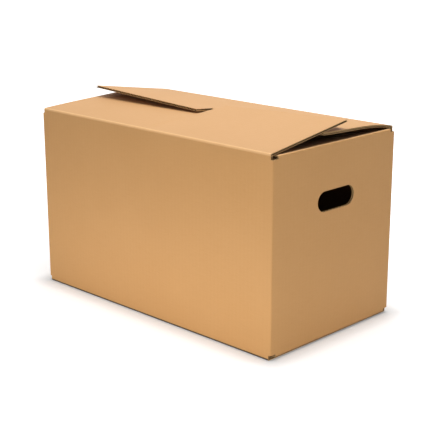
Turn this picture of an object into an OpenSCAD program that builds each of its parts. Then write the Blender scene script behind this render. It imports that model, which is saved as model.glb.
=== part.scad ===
// Moving box of corrugated board, closed by two long flaps that are slotted into each other.
// Millimetres, +Z up. The origin is the middle of the footprint, on the floor.
// X runs along the long panels and Y along the end panels.

/* [Box] */
// Length of the body, over the outside of its end panels
body_l = 550; // [420:5:700]
// Depth of the body, over the outside of its long panels
body_d = 300; // [240:5:400]
// Height from the floor to the folds of the end flaps
body_h = 320; // [240:5:450]
// Thickness of the corrugated board
board = 4; // [3:0.5:5]
// Outer radius of the folds between the panels
corner_r = 5; // [5:0.5:8]

/* [Long flaps] */
// Outer radius of the fold that each long flap turns on
long_fold_r = 7; // [6:0.5:9]
// How far the free edges of the two long flaps pass each other
overlap = 58; // [40:1:80]
// Height of the upper half of a flap at its outer corner, above its fold
lift_end = 27; // [22:0.5:34]
// Height of the upper half of a flap beside the slot, above its fold
lift_mid = 15.5; // [14:0.5:18]
// Arch of the lower half beside the slot
bow_mid = 4.8; // [2:0.2:5]
// Arch of the back flap's lower half at its outer edge
bow_back = 4; // [0:0.5:5]
// Arch of the front flap's lower half at its outer edge
bow_front = 0.5; // [0:0.5:5]
// How much lower than its neighbour's underside the front flap's outer corner hangs
slack_front = 4.5; // [0:0.5:8]
// Gap between the two flaps where one presses on the other
flap_gap = 0.3; // [0.3:0.1:1]

/* [Slots] */
// Width of a slot at its mouth in the free edge
slot_mouth = 12; // [11:1:24]
// Width of a slot at its round end
slot_end = 10; // [8:1:14]
// How far each slot runs past the middle of the box
slot_past = 9; // [6:1:14]

/* [End flaps] */
// Length of an end flap past its fold
end_flap_l = 175; // [120:5:200]
// Angle by which an end flap hangs below level
end_flap_dip = 13.5; // [8:0.5:14]
// Cut away between a corner of the box and the side of an end flap
end_flap_inset = 12; // [8:1:20]

/* [Flutes] */
// Length of one wave of the board's middle paper
flute_pitch = 8; // [6:0.5:9]
// Thickness of the paper on each face of the board
liner = 0.5; // [0.4:0.1:0.7]
// Thickness of the middle paper, measured along the edge
flute_wall = 0.6; // [0.5:0.1:0.8]
// How far in from a free edge the openings between the papers go
flute_depth = 3; // [1:0.5:5]

/* [Hand holes] */
// Width of a hand hole
hole_w = 90; // [70:1:110]
// Height of a hand hole, with half-round ends
hole_h = 33; // [25:1:40]
// Distance from the top fold down to the middle of a hand hole
hole_drop = 90; // [60:1:120]

/* [Glued joint] */
// Width of the tab that joins the two ends of the sheet inside one corner
tab_w = 35; // [25:1:50]
// Gap left between the cut edges at that corner and along the bottom
seam = 1; // [0.5:0.5:2]

/* [Hidden] */

kraft = [0.83, 0.66, 0.46];
$fn = 48;

half_l = body_l / 2;
half_d = body_d / 2;
inner_r = corner_r - board;
// A long flap folds one board higher than the end flaps that it covers
long_top = body_h + board;
// The straight walls run between the folds
wall_lo = board + corner_r;
wall_hi = body_h - corner_r;
// The long flap's side edge starts where the corner's round does
flap_half = half_l - corner_r;
// From the outside of the panel to the free edge, and to the place under the other's free edge
reach = half_d + overlap / 2;
cross = body_d - reach;
// Where the slot starts, and how much it widens for each millimetre on the way to its mouth
slot_from = half_d - slot_past;
slot_taper = (slot_mouth - slot_end) / 2 / (reach - slot_from);
// The step from lower to upper half is made inside the other flap's slot, this far from its sides
step_margin = 1;

// Rows along a flap: the fold, the web up to the slot, the slot's round end, and the two lobes
fold_rows = 6;
web_rows = 7;
round_rows = 3;
lobe_rows = 4;
// Columns on each side of the middle, and how strongly they crowd towards the slot
side_cols = 11;
crowding = 1.8;

// A value at the slot passing to another at the outer edge, u from the middle
function along(at_mid, at_end, u) = at_mid + (at_end - at_mid) * abs(u) / flap_half;

// Hump of height 1 that is 0 at both ends of the flap; skew 1 is even, 2 lies nearer the fold
function hump(t, skew) =
    t * pow(max(0, 1 - t), skew) * (1 + skew) * pow((1 + skew) / skew, skew);

// Height of the upper half over the fold's own level: a straight ramp
function upper(u, s) = along(lift_mid, lift_end, u) * s / reach;

// Height of the lower half: a ramp that ends just under the other flap, with an arch on it
function lower(u, s, bow, slack) =
    (upper(u, cross) - board - flap_gap - along(0, slack, u)) * s / reach
    + along(bow_mid, bow, u) * hump(s / reach, along(1, 2, u));

// Half width of the other flap's slot at a distance s from this flap's fold
function other_slot(s) = slot_end / 2 + slot_taper * (body_d - slot_from - s);

// Half width of this flap's slot, with a round end
function slot_side(s) =
    let (d = max(0, s - slot_from), r = slot_end / 2, e = min(d, r))
    sqrt(r * r - (r - e) * (r - e)) + slot_taper * d;

// From 0 on the lower half to 1 on the upper half, with a smooth step between
function share(u, s) =
    let (w = max(1, other_slot(s) - step_margin), x = min(1, max(0, (u / w + 1) / 2)))
    x * x * (3 - 2 * x);

// Top surface of a flap above the floor
function flap_z(u, s, bow, slack) =
    let (k = share(u, s))
    long_top + k * upper(u, s) + (1 - k) * lower(u, s, bow, slack);

// Slope of the top surface in degrees, away from the fold
function flap_slope(u, s, bow, slack) =
    let (step = 0.5)
    atan((flap_z(u, s + step, bow, slack) - flap_z(u, s - step, bow, slack)) / (2 * step));

// Columns of one row: the middle is doubled, so that the slot can open between the pair
function column(c, side) =
    let (n = side_cols, k = c <= n ? n - c : c - n - 1, u = side + (flap_half - side) * pow(k / n, crowding))
    c <= n ? -u : u;

// One point of the fold, at angle a around it: on the outer face, or one board inside
function fold_point(u, a, slope, face) =
    let (
        r = long_fold_r - face * board,
        centre = long_top - long_fold_r * (1 / cos(slope) - tan(slope))
    )
    [u, long_fold_r - r * cos(a), centre + r * sin(a)];

// One point of the flap past its fold: on the top face, or one board under it
function flap_point(u, s, bow, slack, face) =
    let (slope = flap_slope(u, s, bow, slack))
    [u, s + face * board * sin(slope), flap_z(u, s, bow, slack) - face * board * cos(slope)];

// Distances from the fold of the rows past it
function flap_rows() = concat(
    [for (i = [1 : web_rows]) long_fold_r + (slot_from - long_fold_r) * i / web_rows],
    [for (i = [1 : round_rows]) slot_from + slot_end / 2 * (1 - cos(90 * i / round_rows))],
    [for (i = [1 : lobe_rows])
        slot_from + slot_end / 2 + (reach - slot_from - slot_end / 2) * i / lobe_rows]
);

// Two triangles of a four-cornered patch, clockwise from outside
function patch(a, b, c, d) = [[a, b, c], [a, c, d]];

// Outline of an end panel's hand hole, in the plane of the panel
module hand_hole() {
    straight = hole_w - hole_h;
    square([straight, hole_h], center = true);
    for (side = [-1, 1])
        translate([side * straight / 2, 0]) circle(d = hole_h);
}

// Section of a fold and the flap past it. The panel's outer face is at x = 0 and its top at y = 0,
// and the flap leaves towards negative x, dip degrees below level.
module folded_profile(r, length, dip) {
    intersection() {
        difference() {
            circle(r);
            circle(r - board);
        }
        polygon([[0, 0], [2 * r, 0], [2 * r, 2 * r], [0, 2 * r], 2 * r * [-sin(dip), cos(dip)]]);
    }
    rotate(dip) translate([-length, r - board]) square([length, board]);
}

// Flap of one end panel, at the +X end
module end_flap(length, dip) {
    translate([half_l - corner_r, half_d - end_flap_inset])
        rotate([90, 0]) linear_extrude(body_d - 2 * end_flap_inset)
            folded_profile(corner_r, length, dip);
}

// The four panels, standing between their folds, with the corner where the sheet was joined
module panels() {
    difference() {
        translate([0, 0, wall_lo]) linear_extrude(wall_hi - wall_lo) difference() {
            rounded(body_l, body_d, corner_r);
            rounded(body_l - 2 * board, body_d - 2 * board, inner_r);
        }
        for (side = [-1, 1])
            translate([side * (half_l - board / 2), 0, body_h - hole_drop])
                rotate([90, 0, 90]) linear_extrude(2 * board, center = true) hand_hole();
        translate([-flap_half - seam, half_d - board, wall_lo])
            cube([seam, board, wall_hi - wall_lo]);
    }
    translate([-half_l + board, half_d - 2 * board, wall_lo])
        cube([tab_w, board, wall_hi - wall_lo]);
}

// Rectangle with round corners
module rounded(l, d, r) {
    square([l - 2 * r, d], center = true);
    square([l, d - 2 * r], center = true);
    for (x = [-1, 1], y = [-1, 1])
        translate([x * (l / 2 - r), y * (d / 2 - r)]) circle(r);
}

// Front long flap with its fold and slot: over the back flap at +X, under it at -X
module long_flap(bow, slack) {
    rows = flap_rows();
    cols = 2 * side_cols + 2;
    count = 2 + fold_rows + len(rows);
    slot_row = 1 + fold_rows + web_rows;
    // The foot stands on the panel, then come the fold's rows and those of the flap
    points = [
        for (r = [0 : count - 1], c = [0 : cols - 1], face = [0, 1])
            let (
                s = r < fold_rows + 2 ? long_fold_r : rows[r - fold_rows - 2],
                u = column(c, slot_side(s)),
                slope = flap_slope(u, long_fold_r, bow, slack)
            )
            r == 0 ? [u, face * board, wall_hi]
            : r < fold_rows + 2 ? fold_point(u, (90 - slope) * (r - 1) / fold_rows, slope, face)
            : flap_point(u, s, bow, slack, face)
    ];
    function at(r, c, face) = (r * cols + c) * 2 + face;
    strips = [for (c = [0 : cols - 2]) if (c != side_cols) c];
    faces = concat(
        [for (r = [0 : count - 2], c = strips)
            each patch(at(r, c, 0), at(r + 1, c, 0), at(r + 1, c + 1, 0), at(r, c + 1, 0))],
        [for (r = [0 : count - 2], c = strips)
            each patch(at(r, c, 1), at(r, c + 1, 1), at(r + 1, c + 1, 1), at(r + 1, c, 1))],
        [for (c = strips) each patch(at(0, c, 0), at(0, c + 1, 0), at(0, c + 1, 1), at(0, c, 1))],
        [for (c = strips, r = [count - 1])
            each patch(at(r, c, 0), at(r, c, 1), at(r, c + 1, 1), at(r, c + 1, 0))],
        [for (r = [0 : count - 2])
            each patch(at(r, 0, 0), at(r, 0, 1), at(r + 1, 0, 1), at(r + 1, 0, 0))],
        [for (r = [0 : count - 2], c = [cols - 1])
            each patch(at(r, c, 0), at(r + 1, c, 0), at(r + 1, c, 1), at(r, c, 1))],
        [for (r = [slot_row : count - 2], c = [side_cols])
            each patch(at(r, c, 0), at(r + 1, c, 0), at(r + 1, c, 1), at(r, c, 1))],
        [for (r = [slot_row : count - 2], c = [side_cols + 1])
            each patch(at(r, c, 0), at(r, c, 1), at(r + 1, c, 1), at(r + 1, c, 0))]
    );
    translate([0, -half_d, 0]) difference() {
        polyhedron(points, faces);
        for (side = [-1, 1]) edge_openings(side, bow, slack);
    }
}

// The openings between the papers along one half of a long flap's free edge, which is straight
module edge_openings(side, bow, slack) {
    near = slot_side(reach) + liner;
    far = flap_half - liner;
    mid = side * (near + far) / 2;
    rise = flap_z(side * far, reach, bow, slack) - flap_z(side * near, reach, bow, slack);
    translate([mid, reach, flap_z(mid, reach, bow, slack)])
        rotate([flap_slope(mid, reach, bow, slack), 0, 0])
            rotate([0, -side * atan(rise / (far - near)), 0])
                translate([0, board, 0]) rotate([90, 0, 0])
                    linear_extrude(board + flute_depth) flute_section(far - near);
}

// Openings under one liner and over the other in turn, with the wave's wall left between them
module flute_section(width) {
    half_pitch = flute_pitch / 2;
    narrow = half_pitch / 6;
    wide = half_pitch - flute_wall - narrow;
    count = floor((width - 2 * wide) / half_pitch);
    for (i = [0 : count])
        translate([(i - count / 2) * half_pitch, -board / 2]) scale([1, i % 2 == 0 ? 1 : -1])
            polygon([[-wide, board / 2 - liner], [wide, board / 2 - liner],
                [narrow, liner + flute_wall / 2 - board / 2], [-narrow, liner + flute_wall / 2 - board / 2]]);
}

// Bottom flap of one long panel, at the front, flat on the floor
module bottom_flap() {
    translate([-flap_half, -half_d + corner_r, corner_r]) mirror([0, 0, 1]) rotate([90, 0, -90])
        mirror([0, 0, 1]) linear_extrude(2 * flap_half)
            folded_profile(corner_r, half_d - corner_r - seam / 2, 0);
    translate([-flap_half, -half_d, corner_r]) cube([2 * flap_half, board, wall_lo - corner_r]);
}

module carton() color(kraft) {
    panels();
    long_flap(bow_front, slack_front);
    rotate(180) long_flap(bow_back, 0);
    for (turn = [0, 180]) rotate(turn) {
        translate([0, 0, wall_hi]) end_flap(end_flap_l, end_flap_dip);
        translate([0, 0, wall_lo]) mirror([0, 0, 1]) end_flap(end_flap_l, 0);
        bottom_flap();
    }
}

carton();
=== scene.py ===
# %% [markdown]
# # A moving box in corrugated board
# This lesson dresses the imported model of a moving box. The imported model is the fixed frame: it
# says how big the box is and where its folds lie, and nothing here moves or resizes it.
# We load it first, and keep its box of sizes.

import bmesh
import bpy
import numpy as np
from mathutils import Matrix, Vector


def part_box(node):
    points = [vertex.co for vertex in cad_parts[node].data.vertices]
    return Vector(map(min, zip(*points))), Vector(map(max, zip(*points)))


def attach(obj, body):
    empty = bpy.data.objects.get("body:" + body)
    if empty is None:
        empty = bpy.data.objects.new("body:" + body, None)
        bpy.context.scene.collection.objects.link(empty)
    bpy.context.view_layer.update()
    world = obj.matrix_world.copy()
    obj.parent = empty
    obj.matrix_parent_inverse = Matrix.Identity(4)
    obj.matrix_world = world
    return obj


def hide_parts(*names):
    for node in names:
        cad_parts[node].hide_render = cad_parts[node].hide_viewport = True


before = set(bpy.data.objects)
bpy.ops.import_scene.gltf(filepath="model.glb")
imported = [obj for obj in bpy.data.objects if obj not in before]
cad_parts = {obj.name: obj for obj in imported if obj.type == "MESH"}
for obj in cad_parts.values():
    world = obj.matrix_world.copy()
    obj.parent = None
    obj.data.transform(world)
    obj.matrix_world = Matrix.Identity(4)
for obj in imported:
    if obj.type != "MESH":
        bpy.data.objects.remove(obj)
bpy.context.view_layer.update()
low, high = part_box("carton")
LENGTH = round(high.x - low.x, 4)
DEPTH = round(high.y - low.y, 4)
print("body", round(LENGTH, 4), "by", round(DEPTH, 4), "m, tallest point", round(high.z, 4))

# %% [markdown]
# ## The camera comes first
# Everything else is judged through it, so it is set before anything is made. The photograph
# looks at one bottom corner of the box from a little above, through a fairly long lens. A camera
# is easiest to read as a place and two angles: azimuth turns it about the vertical and
# elevation tips it down. A longer lens from further away flattens the perspective.

# %% Camera
CAMERA_AT = (1.290, -1.301, 0.666)
AZIMUTH = 44.28
ELEVATION = 16.03
FRAME_PX = 440
FOCAL_PX = 1085
SENSOR = 36

camera_data = bpy.data.cameras.new("camera")
camera_data.sensor_width = SENSOR
camera_data.lens = SENSOR * FOCAL_PX / FRAME_PX
camera = bpy.data.objects.new("camera", camera_data)
camera.location = CAMERA_AT
camera.rotation_euler = np.radians((90 - ELEVATION, 0, AZIMUTH))
bpy.context.scene.collection.objects.link(camera)
bpy.context.scene.camera = camera
print("lens", round(camera_data.lens, 1), "mm")

# %% [markdown]
# ## What the board is made of
# Corrugated board is two flat papers, the liners, with a wavy one glued between them, the
# fluting. From a step away the liners give the colour, and every cut edge gives the game away:
# across the flutes it shows the wave, along them it shows two thin lines with a gap.
# A solid slab with a picture of an edge would do for a distant box. Here all three papers are
# modelled, because the free edges of the flaps face the camera.
#
# The whole box is one folded sheet, so it can be one grid. Columns run round the box, across
# four panels and four corners. Rows run up the sheet: bottom flap, fold, panel, fold, top flap.
# Each grid point is looked up on the folded sheet, and a paper is that grid at some depth.

# %% Sizes of the sheet, in metres
BOARD = 0.004       # thickness of the board
LINER = 0.0005      # thickness of each liner
PAPER = 0.0006      # thickness of the fluting's own paper
PITCH = 0.008       # length of one wave of the fluting
CORNER_R = 0.005    # distance from an edge of the box at which its flat panels start
LONG_R = 0.007      # the same distance for a long flap at its top fold
CREASE_R = 0.0025   # radius that the outside of the board has in a fold
BODY_H = 0.320      # height of the end flaps' folds
OVERLAP = 0.058     # how far the free edges of the long flaps pass each other
SEAM = 0.001        # gap between two cut edges that meet
TAB_W = 0.035       # width of the tab inside the glued corner
END_FLAP = 0.175    # length of an end flap past its fold
END_INSET = 0.012   # cut away between a corner and the side of an end flap
END_DIP = np.radians(13.5)  # angle by which the end flaps hang below level

WALL_LO = BOARD + CORNER_R
WALL_HI = BODY_H - CORNER_R
LONG_TOP = BODY_H + BOARD
HALF = {"long": LENGTH / 2 - CORNER_R, "end": DEPTH / 2 - CORNER_R}
REACH = (DEPTH + OVERLAP) / 2       # from a long panel's outside to its flap's free edge
CROSS = DEPTH - REACH               # from there to the place under the partner's free edge
HOLE_W, HOLE_H = 0.090, 0.033
HOLE_DROP = 0.090                   # from the top fold down to the middle of a hand hole
HOLE_Z = BODY_H - HOLE_DROP
TINY = 1e-9                         # allowance for rounding where two places are compared
print("long flap reaches", REACH, "m, so the free edges pass each other by", round(2 * REACH - DEPTH, 4))

# %% [markdown]
# ## How two flaps lock
# Each long flap has a slot in the middle of its free edge, and the two slots are pushed into
# each other. On one half of the box a flap lies on top of its partner, on the other half it
# lies under it. The upper half stays a straight ramp. The lower half arches up from its fold
# and is pressed down again by the board on it. In the slot the sheet passes from one to the other.
#
# Both halves are simple functions of two numbers: `u`, the place across the flap, and `s`, the
# distance from the fold. A smooth step blends them, inside the width of the partner's slot.

# %% Heights of a locked flap
LIFT = (0.0155, 0.027)      # rise of the upper half's free edge, at the slot and at the far end
BOW_MID = 0.0048            # arch of the lower half beside the slot
GAP = 0.0003                # left between the flaps where one presses on the other
SLOT_MOUTH, SLOT_END = 0.012, 0.010
SLOT_PAST = 0.009           # how far each slot runs past the middle of the box
SLOT_FROM = DEPTH / 2 - SLOT_PAST
TAPER = (SLOT_MOUTH - SLOT_END) / 2 / (REACH - SLOT_FROM)
STEP_MARGIN = 0.001         # the step keeps this far inside the partner's slot
LEAST_STEP = 0.001          # half width of the step where the slot would leave less
# A lower half's arch at its outer edge, and how far its outer corner hangs below its partner
FRONT = {"bow": 0.0005, "slack": 0.0045}
BACK = {"bow": 0.004, "slack": 0.0}


def along(at_mid, at_end, u):
    """The value at the slot, passing evenly to another value at the outer edge."""
    return at_mid + (at_end - at_mid) * np.abs(u) / HALF["long"]


def hump(t, skew):
    """0 at t = 0 and t = 1 and 1 in between: t times (1 - t) to the power skew, scaled."""
    return t * np.maximum(0, 1 - t) ** skew * (1 + skew) * ((1 + skew) / skew) ** skew


def upper(u, s):
    """Straight ramp: the lift at this place across, times the share of the way to the edge."""
    return along(*LIFT, u) * s / REACH


def lower(u, s, bow, slack):
    """Ramp to just under the partner's board, plus an arch."""
    edge = upper(u, CROSS) - BOARD - GAP - along(0, slack, u)
    return edge * s / REACH + along(BOW_MID, bow, u) * hump(s / REACH, along(1, 2, u))


def slot_side(s):
    """Half width of the slot at a distance s: a half circle at its end, then a steady taper."""
    past = np.maximum(0, s - SLOT_FROM)
    r = SLOT_END / 2
    e = np.minimum(past, r)
    return np.sqrt(np.maximum(0, r * r - (r - e) ** 2)) + TAPER * past


def flap_height(u, s, bow, slack):
    """Blend of lower and upper half, by a smooth step as wide as the partner's slot."""
    partner_slot = SLOT_END / 2 + TAPER * (DEPTH - SLOT_FROM - s)
    width = np.maximum(LEAST_STEP, partner_slot - STEP_MARGIN)
    x = np.clip((u / width + 1) / 2, 0, 1)
    share = x * x * (3 - 2 * x)
    return share * upper(u, s) + (1 - share) * lower(u, s, bow, slack)


corner_rise = float(flap_height(HALF["long"], REACH, **FRONT))
print("free edge stands", round(corner_rise * 1000, 1), "mm high at its corner")

# %% [markdown]
# ## The rows and columns of the grid
# A strip is one panel with the flap below it and the flap above it. Seen from its side, a strip
# is a line: in along the bottom flap, up the panel, round the fold and along the top flap.
#
# A grid has no holes, but there is a trick worth knowing: two neighbouring lines that lie on
# each other can be pulled apart to open one. The middle columns of a long strip part to make the
# slot, and two rows of an end strip part to make the hand hole. The cells between are left out.

# %% Where the rows and columns lie
FOLD_STEPS = 10
BOTTOM_ROWS = 6
SLOT_ROUND = SLOT_FROM + SLOT_END / 2
LONG_S = np.concatenate([
    np.linspace(LONG_R, SLOT_FROM, 18)[1:],
    SLOT_FROM + SLOT_END / 2 * (1 - np.cos(np.radians((18, 36, 54, 72, 90)))),
    np.linspace(SLOT_ROUND, REACH, 9)[1:],
])
FLAP_ROWS = len(LONG_S)
WALL_Z = np.concatenate([
    np.linspace(WALL_LO, HOLE_Z - HOLE_H, 8),
    np.linspace(HOLE_Z - HOLE_H, HOLE_Z, 4)[1:],
    np.linspace(HOLE_Z, HOLE_Z + HOLE_H, 4),
    np.linspace(HOLE_Z + HOLE_H, WALL_HI, 4)[1:],
])
HOLE_ROW = int(np.argmax(WALL_Z == HOLE_Z))
FIRST_WALL = BOTTOM_ROWS + FOLD_STEPS + 1
FIRST_TOP = FIRST_WALL + len(WALL_Z)
FIRST_FLAP = FIRST_TOP + FOLD_STEPS + 1
ALL_ROWS = FIRST_FLAP + FLAP_ROWS

HOLE_FLAT = (HOLE_W - HOLE_H) / 2
FLAP_SIDE = DEPTH / 2 - END_INSET
SIDE_COLUMNS = 21
CROWDING = 2.2      # power that draws the columns together beside the slot


def both_ways(right):
    """The mirror image of a row of places and then the row, so that 0 comes twice and can part."""
    return np.concatenate([-right[::-1], right])


long_u = both_ways(HALF["long"] * np.linspace(0, 1, SIDE_COLUMNS) ** CROWDING)
end_right = np.concatenate([
    np.linspace(0, HOLE_FLAT, 4),
    HOLE_FLAT + HOLE_H / 2 * np.sin(np.radians((15, 30, 45, 60, 75, 90))),
    np.linspace(HOLE_W / 2, FLAP_SIDE, 7)[1:],
    [HALF["end"]],
])
end_u = both_ways(end_right)
print(ALL_ROWS, "rows;", len(long_u), "columns on a long strip and", len(end_u), "on an end strip")

# %% [markdown]
# ## The line of a strip
# Each zone of the line gives four arrays, with a row for each place up the sheet and a column for
# each place across: the distance `s` inwards from the panel's outside, the height `z`, and two
# parts of a direction that points out of the board. Any layer is found by stepping in along it.
#
# On flat board that direction is the plain normal. A fold is different. Board is creased before
# it is folded, so its outside turns tightly and its inside stays round. There the direction runs
# from the inner face to the outer one, and its length is the thickness in boards.

# %% A fold
SLOPE_STEP = 0.0005     # half the distance over which a flap's slope is measured


def crease(r, full, share):
    """Fold of radius r through the angle `full`, about its centre, from the direction (1, 0).
    Outside: straight on for one step, round a circle of CREASE_R, and straight for the last step.
    Inside: a circle of radius r - BOARD. Returns the outer point, and the way from the inner to
    the outer point divided by BOARD."""
    turn = full * np.clip((share * FOLD_STEPS - 1) / (FOLD_STEPS - 2), 0, 1)
    lead = (r - CREASE_R) * np.tan(full / 2)
    before = lead * np.clip(share * FOLD_STEPS, 0, 1) - lead
    after = lead * np.clip((share - 1) * FOLD_STEPS + 1, 0, 1)
    x = r - CREASE_R + CREASE_R * np.cos(turn) - after * np.sin(full)
    y = lead + CREASE_R * np.sin(turn) + before + after * np.cos(full)
    inner_x = (r - BOARD) * np.cos(full * share)
    inner_y = (r - BOARD) * np.sin(full * share)
    return x, y, (x - inner_x) / BOARD, (y - inner_y) / BOARD


def fold(r, centre, slope, share):
    """A crease that turns from upright to the flap's slope about (r, centre): s runs inwards, so
    it is r less the crease's x, and the way out is turned round with it."""
    out, up, way_out, way_up = crease(r, np.pi / 2 - slope, share)
    return r - out, centre + up, -way_out, way_up


whole_fold = np.linspace(0, 1, FOLD_STEPS + 1)[:, None]
crest = crease(CORNER_R, np.pi / 2, 0.5)
print("a corner's outside is", round(float(np.hypot(*crest[:2])) * 1000, 2), "mm from its hub")

# %% Zones of a strip, bottom to top
def hole_side(u):
    """Half height of the hand hole at a distance u from its middle: flat, with round ends."""
    r = HOLE_H / 2
    past = np.maximum(0, np.abs(u) - HOLE_FLAT)
    return np.sqrt(np.maximum(0, r * r - past ** 2))


def bottom_zone(kind, u):
    """Level flap from its free edge to the fold, then the fold, which is a top fold turned over."""
    level = BOARD if kind == "end" else 0.0
    length = END_FLAP if kind == "end" else DEPTH / 2 - CORNER_R - SEAM / 2
    run = np.linspace(length, 0, BOTTOM_ROWS + 1)[:-1, None] + 0 * u
    s, z, ns, nz = fold(CORNER_R, 0.0, 0.0, whole_fold[::-1] + 0 * u)
    flap = CORNER_R + run, level + 0 * run, 0 * run, 0 * run - 1
    return [np.vstack(pair) for pair in zip(flap, (s, level + CORNER_R - z, ns, -nz))]


def panel_zone(kind, u):
    """Upright panel. Rows near the hand hole are pressed away from its middle, less and less."""
    z = WALL_Z[:, None] + 0 * u
    if kind == "end":
        way = np.where(np.arange(len(WALL_Z)) > HOLE_ROW, 1, -1)[:, None]
        near = np.abs(z - HOLE_Z) < HOLE_H + TINY
        moved = HOLE_Z + way * hole_side(u) + (z - HOLE_Z) * (1 - hole_side(u) / HOLE_H)
        z = np.where(near, moved, z)
    return [0 * z, z, 0 * z - 1, 0 * z]


def end_top_zone(u):
    """Fold and straight flap that hangs a few degrees below level, under the long flaps."""
    s, z, ns, nz = fold(CORNER_R, WALL_HI, -END_DIP, whole_fold + 0 * u)
    run = np.linspace(0, END_FLAP, FLAP_ROWS + 1)[1:, None] + 0 * u
    flap = (s[-1] + run * np.cos(END_DIP), z[-1] - run * np.sin(END_DIP),
            0 * run + np.sin(END_DIP), 0 * run + np.cos(END_DIP))
    return [np.vstack(pair) for pair in zip((s, z, ns, nz), flap)]


def long_top_zone(u, flap_u, lock):
    """Fold to the slope that the locked flap starts with, then the flap at its own height."""
    def slope(u, s):
        rise = flap_height(u, s + SLOPE_STEP, **lock) - flap_height(u, s - SLOPE_STEP, **lock)
        return np.arctan(rise / (2 * SLOPE_STEP))

    start = slope(u, LONG_R)
    centre = LONG_TOP - LONG_R * (1 / np.cos(start) - np.tan(start))
    turned = fold(LONG_R, centre, start, whole_fold)
    s = LONG_S[:, None] + 0 * flap_u
    tilt = slope(flap_u, s)
    flap = s, LONG_TOP + flap_height(flap_u, s, **lock), -np.sin(tilt), np.cos(tilt)
    return [np.vstack(pair) for pair in zip(turned, flap)]


print("hand hole is", round(2 * float(hole_side(0.0)) * 1000, 1), "mm high in its middle")

# %% [markdown]
# ## Strips and corners on the box
# A strip becomes solid geometry when its line is set up on the side of the box that it belongs
# to. Facing 0 degrees is the right end, 90 the back, 180 the left end and 270 the front.
# Between two panels the board runs round a corner, which has no flaps.
#
# With each point goes its place on the flat sheet: `p` along the girth and `q` up the sheet. The
# flutes follow `p`, and so does the grain of the paper, round every fold, as on the real thing.

# %% Grid blocks
def axes(facing):
    """Directions out of the box and across, for a side that faces so many degrees from +X."""
    turn = np.radians(facing)
    return np.array([np.cos(turn), np.sin(turn), 0]), np.array([-np.sin(turn), np.cos(turn), 0])


def block(facing, u, away, z, way_out, way_up, p, q, present):
    """Points at u across and `away` outwards from the box's middle axis, turned to face a way.
    `normal` is the direction out of the board, and `present` tells which cells exist."""
    out, across = axes(facing)
    up = np.array([0, 0, 1])
    u, away, z, way_out, way_up, p, q = np.broadcast_arrays(u, away, z, way_out, way_up, p, q)
    return {
        "at": u[..., None] * across + away[..., None] * out + z[..., None] * up,
        "normal": way_out[..., None] * out + way_up[..., None] * up,
        "p": p, "q": q, "present": present,
    }


def strip(kind, facing, u, p_mid, lock=None):
    """One panel with its flaps: three zones, and the cells that are cut away from it."""
    below, panel = bottom_zone(kind, u), panel_zone(kind, u)
    cells = np.ones((ALL_ROWS - 1, len(u) - 1), bool)
    middle = np.abs(u[1:] + u[:-1]) / 2
    place = np.tile(u, (FIRST_FLAP, 1))
    if kind == "end":
        above = end_top_zone(u)
        place = np.vstack([place, np.tile(u, (FLAP_ROWS, 1))])
        cells[:FIRST_WALL - 1] &= middle < FLAP_SIDE
        cells[FIRST_TOP:] &= middle < FLAP_SIDE
        cells[FIRST_WALL + HOLE_ROW] &= middle > HOLE_W / 2
    else:
        side = slot_side(LONG_S)[:, None]
        way = np.where(np.arange(len(u)) < len(u) // 2, -1, 1)
        flap_u = way * side + u * (1 - side / HALF["long"])
        above = long_top_zone(u, flap_u, lock)
        place = np.vstack([place, flap_u])
        cells[FIRST_FLAP - 1:, len(u) // 2 - 1] = LONG_S <= SLOT_FROM + TINY
    s, z, ns, nz = (np.vstack(zones) for zones in zip(below, panel, above))
    step = np.hypot(np.diff(s, axis=0), np.diff(z, axis=0))
    q = np.vstack([0 * z[:1], np.cumsum(step, axis=0)])
    q += WALL_LO - q[FIRST_WALL]
    reach = LENGTH / 2 if kind == "end" else DEPTH / 2
    return block(facing, place, reach - s, z, -ns, nz, p_mid + place, q, cells)


def corner(facing, p_start, places):
    """Crease from one panel to the next, about a hub that lies CORNER_R inside both of them.
    `places` are shares of the quarter turn, one for each column."""
    half_way = np.radians(facing + 45)
    hub = np.sign((np.cos(half_way), np.sin(half_way), 0)) * (HALF["long"], HALF["end"], 0)
    first, second = axes(facing)
    x, y, way_x, way_y = (part[None, :, None] for part in crease(CORNER_R, np.pi / 2, places))
    rows = np.ones((ALL_ROWS, 1, 1))
    z = np.full(ALL_ROWS, WALL_LO)
    z[FIRST_WALL:FIRST_TOP] = WALL_Z
    z[FIRST_TOP:] = WALL_HI
    z = z[:, None] + 0 * places
    return {
        "at": hub + (x * first + y * second) * rows + z[..., None] * np.array([0, 0, 1]),
        "normal": (way_x * first + way_y * second) * rows,
        "p": p_start + CORNER_R * np.pi / 2 * places + 0 * z, "q": z,
        "present": panel_cells(len(places) - 1),
    }


def panel_cells(count):
    """Cells of columns that have a panel part only, with neither fold nor flap."""
    cells = np.zeros((ALL_ROWS - 1, count), bool)
    cells[FIRST_WALL:FIRST_TOP - 1] = True
    return cells


def side_by_side(blocks):
    """One grid out of several. The cells that join two blocks are corner cells."""
    cells = [blocks[0]["present"]]
    for other in blocks[1:]:
        cells += [panel_cells(1), other["present"]]
    grid = {key: np.concatenate([b[key] for b in blocks], axis=1) for key in ("at", "normal", "p", "q")}
    return {**grid, "present": np.concatenate(cells, axis=1)}


ROUND = CORNER_R * np.pi / 2
GIRTH_AT = {}
p_now = 0.0
for name, kind in (("left", "end"), ("front", "long"), ("right", "end"), ("back", "long")):
    p_now += ROUND + HALF[kind]
    GIRTH_AT[name] = p_now
    p_now += HALF[kind]
CUT = SEAM / (CORNER_R - CREASE_R) / FOLD_STEPS     # share of the first corner lost to the seam
LINER_PLACES, FLUTE_PLACES = 5, 9                   # columns inside a corner


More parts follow.
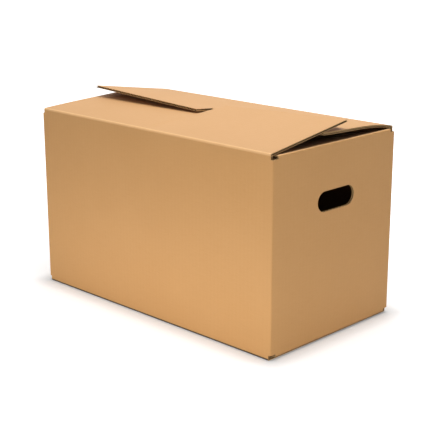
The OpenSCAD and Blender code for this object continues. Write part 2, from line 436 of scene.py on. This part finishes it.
def whole_sheet(u_long, u_end, corner_places):
    """The sheet from the cut edge beside the glued corner, once round, to its other cut edge, and
    the tab behind the seam as a second grid."""
    inner = np.linspace(0, 1, corner_places + 2)[1:-1]
    first = CUT + (1 - CUT) * np.linspace(0, 1, corner_places + 2)[:-1]
    wall = side_by_side([
        corner(90, 0, first),
        strip("end", 180, u_end, GIRTH_AT["left"]),
        corner(180, GIRTH_AT["left"] + HALF["end"], inner),
        strip("long", 270, u_long, GIRTH_AT["front"], FRONT),
        corner(270, GIRTH_AT["front"] + HALF["long"], inner),
        strip("end", 0, u_end, GIRTH_AT["right"]),
        corner(0, GIRTH_AT["right"] + HALF["end"], inner),
        strip("long", 90, u_long, GIRTH_AT["back"], BACK),
    ])
    u = np.linspace(0, TAB_W, max(3, int(len(u_long) * TAB_W / LENGTH)))
    z = np.clip(wall["q"][:, :1], WALL_LO, WALL_HI)
    start = HALF["long"] + SEAM - TAB_W
    tab = block(90, start + u, DEPTH / 2 - BOARD, z, 1, 0, u - TAB_W, z, panel_cells(len(u) - 1))
    return [wall, tab]


liner_sheet = whole_sheet(long_u, end_u, LINER_PLACES)
print("girth of the sheet", round(p_now, 3), "m on a grid of", liner_sheet[0]["p"].shape)

# %% [markdown]
# ## Shader maths written as Python
# A finish is a tree of nodes, and most of them only add and multiply. `Field` wraps one output
# and overloads the operators, so a formula reads as a formula. Every other node comes from
# `Finish.node`, which takes its type, its settings and what goes into its sockets.

# %% Field and Finish
class Field:
    """A number that varies over a surface. Arithmetic on it adds Math nodes."""

    def __init__(self, finish, socket):
        self.finish, self.socket = finish, socket

    def maths(self, operation, *values):
        """What one Math node makes of some values."""
        made = self.finish.node("Math", {"operation": operation}, dict(enumerate(values)))
        return Field(self.finish, made.outputs[0])

    def __add__(self, other):
        return self.maths("ADD", self, other)

    def __mul__(self, other):
        return self.maths("MULTIPLY", self, other)

    def __sub__(self, other):
        return self.maths("SUBTRACT", self, other)

    def __rsub__(self, other):
        return self.maths("SUBTRACT", other, self)

    __radd__, __rmul__ = __add__, __mul__

    def sine(self):
        return self.maths("SINE", self)

    def magnitude(self):
        return self.maths("ABSOLUTE", self)

    def ramp(self, low, high):
        """0 below low and 1 above high, evenly in between."""
        inputs = {"Value": self, "From Min": low, "From Max": high}
        made = self.finish.node("MapRange", {"clamp": True}, inputs)
        return Field(self.finish, made.outputs["Result"])


class Finish:
    """The nodes of a material or of the world, built up one by one."""

    def __init__(self, owner):
        owner.use_nodes = True
        self.owner, self.tree = owner, owner.node_tree
        self.tree.nodes.clear()

    def node(self, kind, settings=None, inputs=None):
        """New node of a kind: first its settings, then the values or links of its sockets."""
        made = self.tree.nodes.new("ShaderNode" + kind)
        for name, value in (settings or {}).items():
            setattr(made, name, value)
        for name, value in (inputs or {}).items():
            source = getattr(value, "socket", value)
            if isinstance(source, bpy.types.NodeSocket):
                self.tree.links.new(source, made.inputs[name])
            else:
                made.inputs[name].default_value = source
        return made

    def sheet(self):
        """The sheet's own coordinates: a vector of p, q and depth, and p and q as fields."""
        vector = self.node("Attribute", {"attribute_name": "sheet"}).outputs["Vector"]
        split = self.node("SeparateXYZ", None, {0: vector})
        return vector, Field(self, split.outputs[0]), Field(self, split.outputs[1])

    def noise(self, vector, stretch, detail=2.0, roughness=0.5):
        """Noise from 0 to 1 with so many blotches to the metre along p, q and the depth."""
        scaled = self.node("VectorMath", {"operation": "MULTIPLY"}, {0: vector, 1: stretch})
        made = self.node("TexNoise", None, {"Vector": scaled.outputs[0], "Scale": 1.0,
                                            "Detail": detail, "Roughness": roughness})
        return Field(self, made.outputs[0])

    def mixed(self, share, first, second):
        """Colour between two others: the first at a share of 0, the second at 1."""
        made = self.node("Mix", {"data_type": "RGBA"}, {0: share, 6: first, 7: second})
        return made.outputs[2]

    def end(self, surface):
        """Close the tree of a material and hand the material over."""
        self.node("OutputMaterial", None, {"Surface": surface})
        return self.owner


print("shader helpers ready")

# %% [markdown]
# ## Kraft liner
# Kraft paper is brown because it is unbleached. Close up it is a felt of fibres that lie mostly
# along the paper machine's run, which on a box is round the girth. It has lighter and darker
# clouds, a few dark specks, and almost no gloss. The liner sinks a little between the flutes it
# is glued to, so a raking light shows faint upright ribs.
#
# Where the board is folded over at the top, the stretched liner wrinkles, and a paler line along
# the top folds is a painted highlight. The flaps are painted paler, a painted sheen of the light
# that grazes the top. The edge that the box stands on is painted almost black: painted shade where
# it meets the floor.
#
# All of it is worked out on `p` and `q`, so it follows the paper over the folds, and a mark is
# nothing but a band of `q`.

# %% Paper marks and painted light across the sheet
CLOUDS, STREAKS = (9, 9, 9), (55, 420, 55)              # blotches to the metre, along p, q, depth
FIBRES, SPECKS = (420, 1500, 420), (700, 900, 700)
WRINKLES, FELTED = (60, 700, 60), (500, 900, 500)
# Painted sheen: the flaps above the folds are made paler and less saturated, as the light grazing the
# top makes them look.
PAINTED_SHEEN_TINT = (1.0, 1.06, 1.29)                              # what each part of the colour grows by
# Painted highlight: a paler line along the top folds.
PAINTED_FOLD_HIGHLIGHT, PAINTED_FOLD_HIGHLIGHT_AT = (0.98, 0.60, 0.28, 1), BODY_H + 0.0034
# Painted shade: an almost black line along the foot, where the box meets the floor.
PAINTED_FOOT_SHADE, PAINTED_FOOT_SHADE_AT = (0.02, 0.012, 0.006, 1), 0.0005
WRINKLED_AT = BODY_H + 0.002


def band(q, at, full, gone):
    """1 on the line across the sheet where q is `at`, out to the distance full; 0 from gone on."""
    return 1 - (q - at).magnitude().ramp(full, gone)


def with_painted_light(finish, tone, q):
    """Painted sheen on the flaps, a painted highlight on the top folds and painted shade at the foot,
    one mixed over the other.
    """
    painted_sheen_tone = finish.node("VectorMath", {"operation": "MULTIPLY"}, {0: tone, 1: PAINTED_SHEEN_TINT}).outputs[0]
    tone = finish.mixed((q - BODY_H).ramp(0.002, 0.006), tone, painted_sheen_tone)
    tone = finish.mixed(band(q, PAINTED_FOLD_HIGHLIGHT_AT, 0.0014, 0.0036) * 0.8, tone, PAINTED_FOLD_HIGHLIGHT)
    return finish.mixed(band(q, PAINTED_FOOT_SHADE_AT, 0.002, 0.0035) * 0.95, tone, PAINTED_FOOT_SHADE)


print("painted_highlight line at", round(PAINTED_FOLD_HIGHLIGHT_AT, 4), "m up the sheet, painted_shade line at", PAINTED_FOOT_SHADE_AT, "m")

# %% The liner's finish
def kraft(name, pale, deep):
    """Two browns mixed by clouds, streaks and fibres, and by the ribs as a faint painted shade, with
    painted sheen, painted highlight, painted shade and dark specks laid over. The bump is the sum of
    the ribs, the fibres, the streaks and the wrinkles, each with its own share."""
    finish = Finish(bpy.data.materials.new(name))
    vector, p, q = finish.sheet()
    clouds = finish.noise(vector, CLOUDS, 3.0)
    streaks = finish.noise(vector, STREAKS, 3.0, 0.6)
    fibres = finish.noise(vector, FIBRES, 2.0, 0.6)
    specks = finish.noise(vector, SPECKS, 1.0).ramp(0.70, 0.78)
    rib = (p * (2 * np.pi / PITCH)).sine()
    # The ribs also shift the colour a little: a faint painted shade between the flutes.
    shade = clouds.ramp(0.3, 0.7) * 0.10 + streaks * 0.22 + fibres * 0.22 + rib * 0.02 + 0.23
    # Painted sheen on the flaps, painted highlight on the top folds and painted shade at the foot.
    tone = with_painted_light(finish, finish.mixed(shade.ramp(0.1, 0.9), pale, deep), q)
    tone = finish.mixed(specks * 0.35, tone, tuple(0.45 * part for part in deep[:3]) + (1,))
    wrinkles = finish.noise(vector, WRINKLES, 2.0) * band(q, WRINKLED_AT, 0.004, 0.016)
    height = rib * 0.025 + fibres * 0.035 + streaks * 0.025 + wrinkles * 0.35
    bump = finish.node("Bump", None, {"Strength": 1.0, "Distance": 0.001, "Height": height})
    skin = finish.node("BsdfPrincipled", None, {
        "Base Color": tone, "Roughness": 0.58 + 0.12 * streaks, "Normal": bump.outputs[0],
        "Sheen Weight": 0.08, "Sheen Roughness": 0.30, "Sheen Tint": (1.0, 0.93, 0.82, 1),
    })
    return finish.end(skin.outputs[0])


kraft_outside = kraft("kraft_outside", (0.735, 0.398, 0.148, 1), (0.615, 0.307, 0.093, 1))
# The inside liner is a darker copy of the same kraft: painted shade, so that the gaps under the flaps
# and the inside of the box stay dark.
kraft_inside_shaded = kraft("kraft_inside_shaded", (0.42, 0.24, 0.10, 1), (0.33, 0.17, 0.065, 1))
print("liner finishes:", kraft_outside.name, kraft_inside_shaded.name)

# %% [markdown]
# ## Fluting paper and cut edges
# The wave is pressed from a rougher, duller paper, often recycled. It sits in the shade of the
# liners, and its mottled brown, with a soft bump, is painted darker than the paper: painted shade
# in the cells.
#
# Where the sheet was cut, each paper shows its torn fibres, which are paler than its pressed face.
# That pale line along every edge is what makes board look like board, so the rims of all three
# papers get a finish of their own.

# %% Finishes of the fluting and of cut edges
def felt(name, pale, deep, bump_height):
    """Two browns mixed by fibres, with the same fibres as bump."""
    finish = Finish(bpy.data.materials.new(name))
    vector = finish.sheet()[0]
    fibres = finish.noise(vector, FELTED, 2.0, 0.6)
    height = fibres * bump_height
    bump = finish.node("Bump", None, {"Strength": 1.0, "Distance": 0.001, "Height": height})
    skin = finish.node("BsdfPrincipled", None, {
        "Base Color": finish.mixed(fibres.ramp(0.25, 0.75), pale, deep), "Roughness": 0.9,
        "Normal": bump.outputs[0], "Specular IOR Level": 0.2,
    })
    return finish.end(skin.outputs[0])


# Both browns of the fluting are darker than its paper: painted shade in the cells of a cut edge.
flute_finish_shaded = felt("fluting_paper_shaded", (0.34, 0.21, 0.10, 1), (0.22, 0.13, 0.055, 1), 0.06)
cut_finish = felt("cut_edge", (0.84, 0.56, 0.27, 1), (0.60, 0.36, 0.15, 1), 0.10)
print("edge finishes:", flute_finish_shaded.name, cut_finish.name)

# %% [markdown]
# ## From a grid to a paper
# A paper is two copies of the grid at two depths, joined by rims wherever a cell has no
# neighbour: at the free edges, in the slots and round the hand holes. One rule makes every
# cut edge, so none can be forgotten and the shell is always closed.
#
# Solidify would also thicken a surface, but it knows only one thickness and would have to be told
# where the fluting lies. Here the two depths may be any function of `p`, and the wave is one.

# %% Closed shell between two depths
def shell_faces(grid, base):
    """Four-cornered faces, counterclockwise from outside: both sides first, then four kinds of rim.
    With them goes 0 for a face of the paper's side and 1 for a cut edge."""
    rows, columns = grid["p"].shape
    outer = base + np.arange(rows * columns).reshape(rows, columns)
    inner = outer + rows * columns
    framed = np.pad(grid["present"], 1)
    here = framed[1:-1, 1:-1]

    def corners(cells, *picks):
        r, c = np.nonzero(cells)
        return np.stack([layer[r + up, c + on] for layer, up, on in picks], axis=1)

    faces = [
        corners(here, (outer, 0, 0), (outer, 0, 1), (outer, 1, 1), (outer, 1, 0)),
        corners(here, (inner, 0, 0), (inner, 1, 0), (inner, 1, 1), (inner, 0, 1)),
        corners(here & ~framed[:-2, 1:-1], (outer, 0, 0), (inner, 0, 0), (inner, 0, 1), (outer, 0, 1)),
        corners(here & ~framed[2:, 1:-1], (outer, 1, 0), (outer, 1, 1), (inner, 1, 1), (inner, 1, 0)),
        corners(here & ~framed[1:-1, :-2], (outer, 0, 0), (outer, 1, 0), (inner, 1, 0), (inner, 0, 0)),
        corners(here & ~framed[1:-1, 2:], (outer, 0, 1), (inner, 0, 1), (inner, 1, 1), (outer, 1, 1)),
    ]
    cut = np.repeat((0, 0, 1, 1, 1, 1), [len(some) for some in faces])
    return np.concatenate(faces), cut


print("the liners have", sum(int(grid["present"].sum()) for grid in liner_sheet), "cells each")

# %% From arrays to a piece
SAME_POINT = 2e-6               # points this near each other are one
NO_LENGTH = 1e-6                # edges shorter than this are taken out
SHARP_FROM = np.radians(40)     # smooth shading stops at edges that turn more than this


def paper_arrays(grids, outer_depth, inner_depth):
    """Points, their place on the sheet, faces and cut marks of both sides and the rims: a point
    is the outer one less its depth times the direction out of the board."""
    points, marks, faces, cuts, base = [], [], [], [], 0
    for grid in grids:
        made = shell_faces(grid, base)
        faces.append(made[0])
        cuts.append(made[1])
        for depth in (outer_depth(grid["p"]), inner_depth(grid["p"])):
            points.append((grid["at"] - depth[..., None] * grid["normal"]).reshape(-1, 3))
            marks.append(np.stack([grid["p"], grid["q"], depth], axis=-1).reshape(-1, 3))
        base += 2 * grid["p"].size
    used, faces = np.unique(np.concatenate(faces), return_inverse=True)
    points, marks = np.concatenate(points)[used], np.concatenate(marks)[used]
    return points, marks, faces.reshape(-1, 4), np.concatenate(cuts)


def weld(mesh):
    """Merge the points that coincide, and count the triangles and the edges left open."""
    work = bmesh.new()
    work.from_mesh(mesh)
    bmesh.ops.remove_doubles(work, verts=work.verts, dist=SAME_POINT)
    bmesh.ops.dissolve_degenerate(work, edges=work.edges, dist=NO_LENGTH)
    open_edges = sum(not edge.is_manifold for edge in work.edges)
    triangles = sum(len(face.verts) - 2 for face in work.faces)
    work.to_mesh(mesh)
    work.free()
    return triangles, open_edges


def paper(name, grids, outer_depth, inner_depth, side_finish):
    """Mesh object of one paper. Each depth is a function of p, in metres in from the outside."""
    points, marks, faces, cuts = paper_arrays(grids, outer_depth, inner_depth)
    mesh = bpy.data.meshes.new(name)
    mesh.vertices.add(len(points))
    mesh.vertices.foreach_set("co", points.ravel())
    mesh.loops.add(faces.size)
    mesh.loops.foreach_set("vertex_index", faces.ravel())
    mesh.polygons.add(len(faces))
    mesh.polygons.foreach_set("loop_start", np.arange(0, faces.size, 4))
    mesh.polygons.foreach_set("material_index", cuts)
    mesh.materials.append(side_finish)
    mesh.materials.append(cut_finish)
    mesh.attributes.new("sheet", "FLOAT_VECTOR", "POINT").data.foreach_set("vector", marks.ravel())
    mesh.update(calc_edges=True)
    triangles, open_edges = weld(mesh)
    mesh.shade_smooth()
    mesh.set_sharp_from_angle(angle=SHARP_FROM)
    piece = bpy.data.objects.new(name, mesh)
    bpy.context.scene.collection.objects.link(piece)
    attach(piece, "root")
    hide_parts("carton")
    print(name, "has", triangles, "triangles and", open_edges, "open edges")


def at_depth(depth):
    """The same depth all over the sheet."""
    return lambda p: depth + 0 * p


paper("outer_liner", liner_sheet, at_depth(0), at_depth(LINER), kraft_outside)
paper("inner_liner", liner_sheet, at_depth(BOARD - LINER), at_depth(BOARD), kraft_inside_shaded)

# %% [markdown]
# ## The fluting
# The middle paper is a wave of 8 mm pitch that touches both liners. It is seen only at the cut
# edges: as a row of arches along a free edge, and as a dark gap along a side. Deep in the board
# it would cost hundreds of thousands of faces that nobody can see, so it is made only within
# a few rows and columns of a cut. That place is found on the cells themselves, by letting the
# missing ones grow.

# %% Fluting near the cuts
WAVE = (BOARD - 2 * LINER - PAPER) / 2
NEAR_ROWS = 2
NEAR_COLUMNS = 14
STEPS_A_FLUTE = 10


def near_a_cut(cells):
    """Cells that have a missing cell, or the sheet's end, within so many rows and columns."""
    missing = np.pad(~cells, 1, constant_values=True)
    for axis, count in ((0, NEAR_ROWS), (1, NEAR_COLUMNS)):
        for _ in range(count):
            missing = missing | np.roll(missing, 1, axis) | np.roll(missing, -1, axis)
    return cells & missing[1:-1, 1:-1]


def wave(side):
    """Depth of one side of the fluting, -1 or 1: the board's middle, plus a sine along p, plus or
    minus half the paper's thickness."""
    return lambda p: BOARD / 2 + WAVE * np.sin(2 * np.pi * p / PITCH) + side * PAPER / 2


def fine(end):
    """Places from 0 to the end, about STEPS_A_FLUTE for each flute."""
    return np.linspace(0, end, round(end / (PITCH / STEPS_A_FLUTE)) + 1)


fine_end = np.concatenate([fine(HOLE_W / 2), HOLE_W / 2 + fine(FLAP_SIDE - HOLE_W / 2)[1:],
                           FLAP_SIDE + fine(HALF["end"] - FLAP_SIDE)[1:]])
flute_sheet = whole_sheet(both_ways(fine(HALF["long"])), both_ways(fine_end), FLUTE_PLACES)
for grid in flute_sheet:
    grid["present"] = near_a_cut(grid["present"])
paper("fluting", flute_sheet, wave(-1), wave(1), flute_finish_shaded)

# %% [markdown]
# ## The floor
# The studio has a plain white floor that keeps the box's shadow. Lit no more than the box is,
# even white comes out grey, so the floor also shines a little. It does so only for the rays that
# show it: the camera's, and those of gloss and transmission. It adds no light to the box.
#
# It shines least right beside the box, where a thin dark shade belongs, and more further out.
# The distance from the footprint is worked out in the shader: take the place without its sign,
# take away half the footprint, put 0 for what is below 0, and measure the length.

# %% Floor
SHOWN_TO = ("Is Camera Ray", "Is Glossy Ray", "Is Transmission Ray")
FLOOR_HALF = 40
FLOOR_COLOUR = (0.80, 0.80, 0.80, 1)
BLACK, WHITE = (0, 0, 0, 1), (1, 1, 1, 1)
SHINE_AT_BOX, SHINE_NEAR, SHINE_FAR = 0.14, 0.32, 0.54      # the last two come on further out
NEAR, FAR = (0.0, 0.035), (0.1, 0.8)                        # from where to where, in metres


def shown_to(finish):
    """1 for the rays that show the studio as white, and 0 for those that only carry its light."""
    rays = finish.node("LightPath")
    return sum(Field(finish, rays.outputs[name]) for name in SHOWN_TO).ramp(0, 1)


def from_footprint(finish):
    """Distance from the box's footprint, in metres: length of max(|place| - half footprint, 0)."""
    place = finish.node("TexCoord").outputs["Object"]
    place = finish.node("VectorMath", {"operation": "ABSOLUTE"}, {0: place}).outputs[0]
    half = {0: place, 1: (LENGTH / 2, DEPTH / 2, 0)}
    place = finish.node("VectorMath", {"operation": "SUBTRACT"}, half).outputs[0]
    place = finish.node("VectorMath", {"operation": "MAXIMUM"}, {0: place, 1: (0, 0, 0)}).outputs[0]
    return Field(finish, finish.node("VectorMath", {"operation": "LENGTH"}, {0: place}).outputs["Value"])


floor_mesh = bpy.data.meshes.new("floor")
corners = np.array([(-1, -1, 0), (1, -1, 0), (1, 1, 0), (-1, 1, 0)]) * FLOOR_HALF
floor_mesh.from_pydata(corners.tolist(), [], [(0, 1, 2, 3)])
floor = bpy.data.objects.new("floor", floor_mesh)
bpy.context.scene.collection.objects.link(floor)

ground = Finish(bpy.data.materials.new("floor_white"))
away = from_footprint(ground)
shine = SHINE_AT_BOX + SHINE_NEAR * away.ramp(*NEAR) + SHINE_FAR * away.ramp(*FAR)
shine_colour = ground.mixed(shine, BLACK, WHITE)
glow = ground.node("Emission", None, {"Color": shine_colour, "Strength": shown_to(ground)})
matte = ground.node("BsdfDiffuse", None, {"Color": FLOOR_COLOUR})
both = ground.node("AddShader", None, {0: matte.outputs[0], 1: glow.outputs[0]})
floor_mesh.materials.append(ground.end(both.outputs[0]))
print("floor is", 2 * FLOOR_HALF, "m wide")

# %% [markdown]
# ## The sky
# The world is white for the same rays. For the rest it gives a weak light that is stronger from
# straight above than from the side, as in a room with a pale ceiling. A direction's height is the
# third part of the world's own coordinates.

# %% Sky
SKY_LEVEL, SKY_ABOVE = 0.12, 0.55

world = bpy.data.worlds.new("studio")
bpy.context.scene.world = world
sky = Finish(world)
direction = sky.node("TexCoord").outputs["Generated"]
height = Field(sky, sky.node("SeparateXYZ", None, {0: direction}).outputs[2])
shown = shown_to(sky)
lit = SKY_LEVEL + (SKY_ABOVE - SKY_LEVEL) * height.ramp(0, 1)
back = sky.node("Background", None, {"Color": WHITE, "Strength": shown + (1 - shown) * lit})
sky.node("OutputWorld", None, {"Surface": back.outputs[0]})
print("sky goes from", SKY_LEVEL, "at the horizon to", SKY_ABOVE, "above")

# %% [markdown]
# ## The lamps
# The top of the box is its palest side, the long front comes next and the end is darkest, and no
# shadow has a hard edge. That is the light of one large soft box overhead. A small fill low in
# front brightens the long panel, more so towards the near corner. Two low strips stand for the
# light that a bright studio floor throws back at the foot of the box.
#
# An area lamp shines along its own -Z axis, so it is enough to turn that axis towards a point.

# %% Lamps
def soft_box(name, at, towards, wide, high, watts):
    """Lamp of so many metres across and up, turned to face a point, and hidden from the camera."""
    lamp_data = bpy.data.lights.new(name, "AREA")
    lamp_data.shape = "RECTANGLE"
    lamp_data.size, lamp_data.size_y = wide, high
    lamp_data.energy = watts
    lamp = bpy.data.objects.new(name, lamp_data)
    lamp.location = at
    lamp.rotation_euler = (Vector(towards) - lamp.location).to_track_quat("-Z", "Y").to_euler()
    lamp.visible_camera = False
    bpy.context.scene.collection.objects.link(lamp)
    print(name, "gives", watts, "W over", wide, "by", high, "m")


soft_box("key", (0.10, 0.08, 1.74), (0.05, -0.05, 0.25), 1.2, 1.2, 18.6)
soft_box("fill", (0.60, -0.85, 0.16), (0.15, -0.10, 0.10), 0.25, 0.25, 1.4)
soft_box("front_bounce", (0.0, -0.38, 0.06), (0.0, -0.15, 0.05), 0.7, 0.08, 0.285)
soft_box("end_bounce", (0.50, 0.0, 0.06), (0.275, 0.0, 0.05), 0.4, 0.08, 0.045)

# %% [markdown]
# ## Look
# The view transform is Standard, so colours come out as they were set.

# %% View transform
bpy.context.scene.view_settings.view_transform = "Standard"
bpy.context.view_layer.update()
